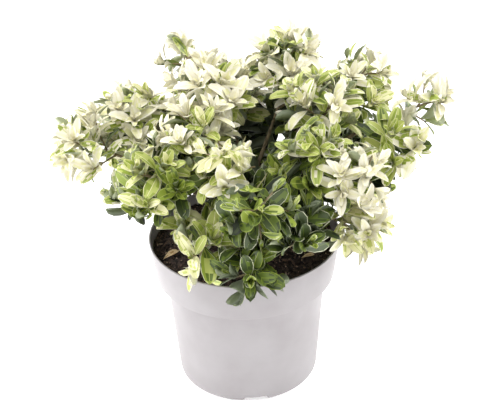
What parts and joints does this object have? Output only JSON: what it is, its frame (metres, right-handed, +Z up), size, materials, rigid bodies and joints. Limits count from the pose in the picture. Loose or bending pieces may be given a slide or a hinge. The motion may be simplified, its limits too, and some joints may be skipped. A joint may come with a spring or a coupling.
{
  "type": "potted japanese euonymus",
  "caption": "Low, broad evergreen shrub with cream and green variegated leaves, growing from a short stem in a round plastic nursery pot filled with peat.",
  "frame": {"origin": "centre of the pot's flat underside", "axes": "+Z up along the pot's axis, -Y towards the front as in the picture, +X to the right"},
  "size_m": [0.398, 0.3202, 0.3534],
  "materials": {
    "pot": "matte, light grey, faintly lilac",
    "peat": "moist, dark brown and fibrous",
    "bark": "thin grey-brown bark, greener towards the twigs",
    "leaf_cream": "young leaves, cream to near white with a green heart",
    "leaf_pale": "young leaves, pale yellow mottled with green",
    "leaf_yellow": "yellow-green leaves",
    "leaf_mixed": "green leaves mottled with cream",
    "leaf_green": "bright green leaves with a pale margin",
    "leaf_dark": "old dark green leaves with a thin white margin"
  },
  "bodies": {
    "root": {"pot": "pot", "peat": "peat", "stock": "bark", "bough_far_left": "bark", "bough_upper_left": "bark", "bough_low_left": "bark", "bough_middle_left": "bark", "bough_apron_left": "bark", "bough_cream_left": "bark", "bough_tall_left": "bark", "bough_rear_left": "bark", "bough_heart": "bark", "bough_front": "bark", "bough_inner": "bark", "bough_inner_left": "bark", "bough_inner_right": "bark", "bough_apron": "bark", "bough_apron_right": "bark", "bough_lime": "bark", "bough_low_right": "bark", "bough_cream_right": "bark", "bough_far_right": "bark", "bough_right_shoot": "bark", "bough_right_upper": "bark", "bough_top_right": "bark", "bough_rear_right": "bark", "bough_low_rear_right": "bark", "bough_top_middle": "bark", "bough_top": "bark", "bough_rear_top": "bark", "bough_rear_low": "bark", "foliage_far_left": "leaf_pale", "foliage_upper_left": "leaf_cream", "foliage_low_left": "leaf_dark", "foliage_middle_left": "leaf_yellow", "foliage_apron_left": "leaf_yellow", "foliage_cream_left": "leaf_cream", "foliage_tall_left": "leaf_cream", "foliage_rear_left": "leaf_mixed", "foliage_heart": "leaf_cream", "foliage_front": "leaf_green", "foliage_inner": "leaf_dark", "foliage_inner_left": "leaf_dark", "foliage_inner_right": "leaf_dark", "foliage_apron": "leaf_mixed", "foliage_apron_right": "leaf_dark", "foliage_lime": "leaf_yellow", "foliage_low_right": "leaf_cream", "foliage_cream_right": "leaf_cream", "foliage_far_right": "leaf_cream", "foliage_right_shoot": "leaf_pale", "foliage_right_upper": "leaf_cream", "foliage_top_right": "leaf_cream", "foliage_rear_right": "leaf_green", "foliage_low_rear_right": "leaf_dark", "foliage_top_middle": "leaf_cream", "foliage_top": "leaf_cream", "foliage_rear_top": "leaf_cream", "foliage_rear_low": "leaf_dark"}
  },
  "joints": []
}
